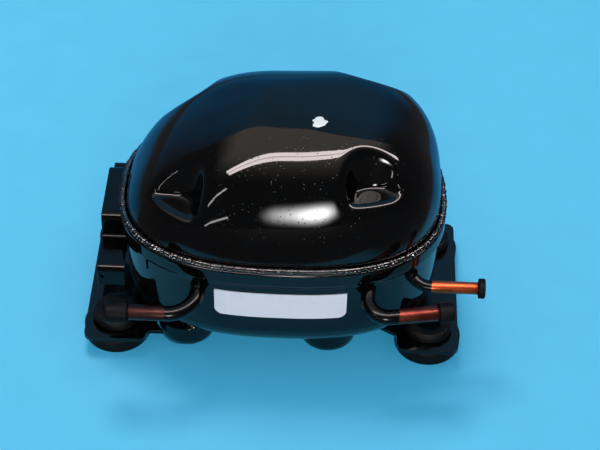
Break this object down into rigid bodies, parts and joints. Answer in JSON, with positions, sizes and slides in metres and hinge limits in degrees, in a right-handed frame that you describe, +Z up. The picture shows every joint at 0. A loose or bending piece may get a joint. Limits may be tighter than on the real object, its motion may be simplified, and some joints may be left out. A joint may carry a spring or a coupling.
{
  "type": "hermetic reciprocating compressor",
  "caption": "Black welded compressor can with a domed top, rubber feet, copper connector tubes and a sprung piston pump and motor inside.",
  "frame": {"origin": "on the floor, at the centre of the pattern of the four rubber feet", "axes": "+X along the base towards the discharge tube, +Y away from the tube side, +Z up"},
  "size_m": [0.2141, 0.1445, 0.1414],
  "materials": {
    "shell_paint": "gloss",
    "weld_paint": "satin",
    "foot_rubber": "matte",
    "plug_rubber": "matte",
    "copper_tube": "satin",
    "label_white": "satin",
    "terminal_steel": "satin",
    "pin_metal": "satin",
    "cast_iron": "matte",
    "ground_steel": "satin",
    "bolt_steel": "satin",
    "spring_steel": "satin",
    "laminations": "satin",
    "copper_wire": "satin",
    "rotor_steel": "satin",
    "head_aluminium": "satin",
    "slider_iron": "satin",
    "moulded_plastic": "matte",
    "gasket": "matte",
    "line_steel": "satin"
  },
  "bodies": {
    "shell": {"upper_shell": "shell_paint", "lower_shell": "shell_paint", "shell_weld": "weld_paint", "left_base_plate": "shell_paint", "right_base_plate": "shell_paint", "front_left_grommet": "foot_rubber", "front_right_grommet": "foot_rubber", "rear_left_grommet": "foot_rubber", "rear_right_grommet": "foot_rubber", "process_tube": "copper_tube", "suction_tube": "copper_tube", "discharge_tube": "copper_tube", "terminal_header": "terminal_steel", "upper_terminal_pin": "pin_metal", "front_terminal_pin": "pin_metal", "rear_terminal_pin": "pin_metal", "terminal_bracket": "shell_paint", "nameplate": "label_white", "discharge_line": "line_steel", "front_left_spring": "spring_steel", "front_right_spring": "spring_steel", "rear_left_spring": "spring_steel", "rear_right_spring": "spring_steel", "front_left_spring_pin": "moulded_plastic", "front_right_spring_pin": "moulded_plastic", "rear_left_spring_pin": "moulded_plastic", "rear_right_spring_pin": "moulded_plastic"},
    "pump": {"crankcase": "cast_iron", "stator_core": "laminations", "upper_winding": "copper_wire", "lower_winding": "copper_wire", "valve_plate": "ground_steel", "head_gasket": "gasket", "cylinder_head": "head_aluminium", "suction_muffler": "moulded_plastic", "front_left_stator_bolt": "bolt_steel", "front_right_stator_bolt": "bolt_steel", "rear_left_stator_bolt": "bolt_steel", "rear_right_stator_bolt": "bolt_steel", "front_left_snubber": "moulded_plastic", "front_right_snubber": "moulded_plastic", "rear_left_snubber": "moulded_plastic", "rear_right_snubber": "moulded_plastic", "front_upper_head_bolt": "bolt_steel", "rear_upper_head_bolt": "bolt_steel", "front_lower_head_bolt": "bolt_steel", "rear_lower_head_bolt": "bolt_steel"},
    "crank": {"crankshaft": "ground_steel", "rotor": "rotor_steel", "oil_pickup": "ground_steel"},
    "gallery": {"oil_gallery_plug": "ground_steel"},
    "piston": {"piston_yoke": "cast_iron"},
    "slider": {"slide_block": "slider_iron"},
    "suction_flap": {"suction_reed": "spring_steel"},
    "discharge_flap": {"discharge_reed": "spring_steel"},
    "process_cap": {"process_plug": "plug_rubber"},
    "suction_cap": {"suction_plug": "plug_rubber"},
    "discharge_stopper": {"discharge_plug": "plug_rubber"}
  },
  "joints": [
    {"name": "pump_bounce", "type": "slide", "parent": "shell", "child": "pump", "axis": [0, 0, 1], "range_m": [-0.002, 0.002], "stiffness_N_per_m": 14000, "springref_m": 0.00215, "deforming": ["front_left_spring", "front_right_spring", "rear_left_spring", "rear_right_spring", "discharge_line"]},
    {"name": "crank_turn", "type": "hinge", "parent": "pump", "child": "crank", "pos_m": [-0.0075, -0.001, 0.107], "axis": [0, 0, 1], "continuous": true},
    {"name": "gallery_turn", "type": "hinge", "parent": "crank", "child": "gallery", "pos_m": [-0.0115, -0.001, 0.107], "axis": [0, 0, 1], "continuous": true},
    {"name": "piston_stroke", "type": "hinge", "parent": "gallery", "child": "piston", "pos_m": [-0.0155, -0.001, 0.107], "axis": [0, 0, 1], "continuous": true},
    {"name": "slider_turn", "type": "hinge", "parent": "crank", "child": "slider", "pos_m": [-0.0155, -0.001, 0.107], "axis": [0, 0, 1], "continuous": true},
    {"name": "suction_reed_lift", "type": "hinge", "parent": "pump", "child": "suction_flap", "pos_m": [0.0405, -0.0094, 0.1115], "axis": [0, 0, 1], "range_deg": [0, 6], "stiffness_Nm_per_rad": 0.05},
    {"name": "discharge_reed_lift", "type": "hinge", "parent": "pump", "child": "discharge_flap", "pos_m": [0.0445, -0.0094, 0.1025], "axis": [0, 0, -1], "range_deg": [0, 6], "stiffness_Nm_per_rad": 0.05},
    {"name": "process_plug_pull", "type": "slide", "parent": "shell", "child": "process_cap", "axis": [-1, 0, 0], "range_m": [0, 0.0085]},
    {"name": "suction_plug_pull", "type": "slide", "parent": "shell", "child": "suction_cap", "axis": [0.9848, 0.1736, 0], "range_m": [0, 0.005]},
    {"name": "discharge_plug_pull", "type": "slide", "parent": "shell", "child": "discharge_stopper", "axis": [1, 0, 0], "range_m": [0, 0.008]}
  ],
  "couplings": [
    {"joint": "gallery_turn", "follows": "crank_turn", "ratio": -2},
    {"joint": "piston_stroke", "follows": "crank_turn", "ratio": 1},
    {"joint": "slider_turn", "follows": "crank_turn", "ratio": -1}
  ]
}
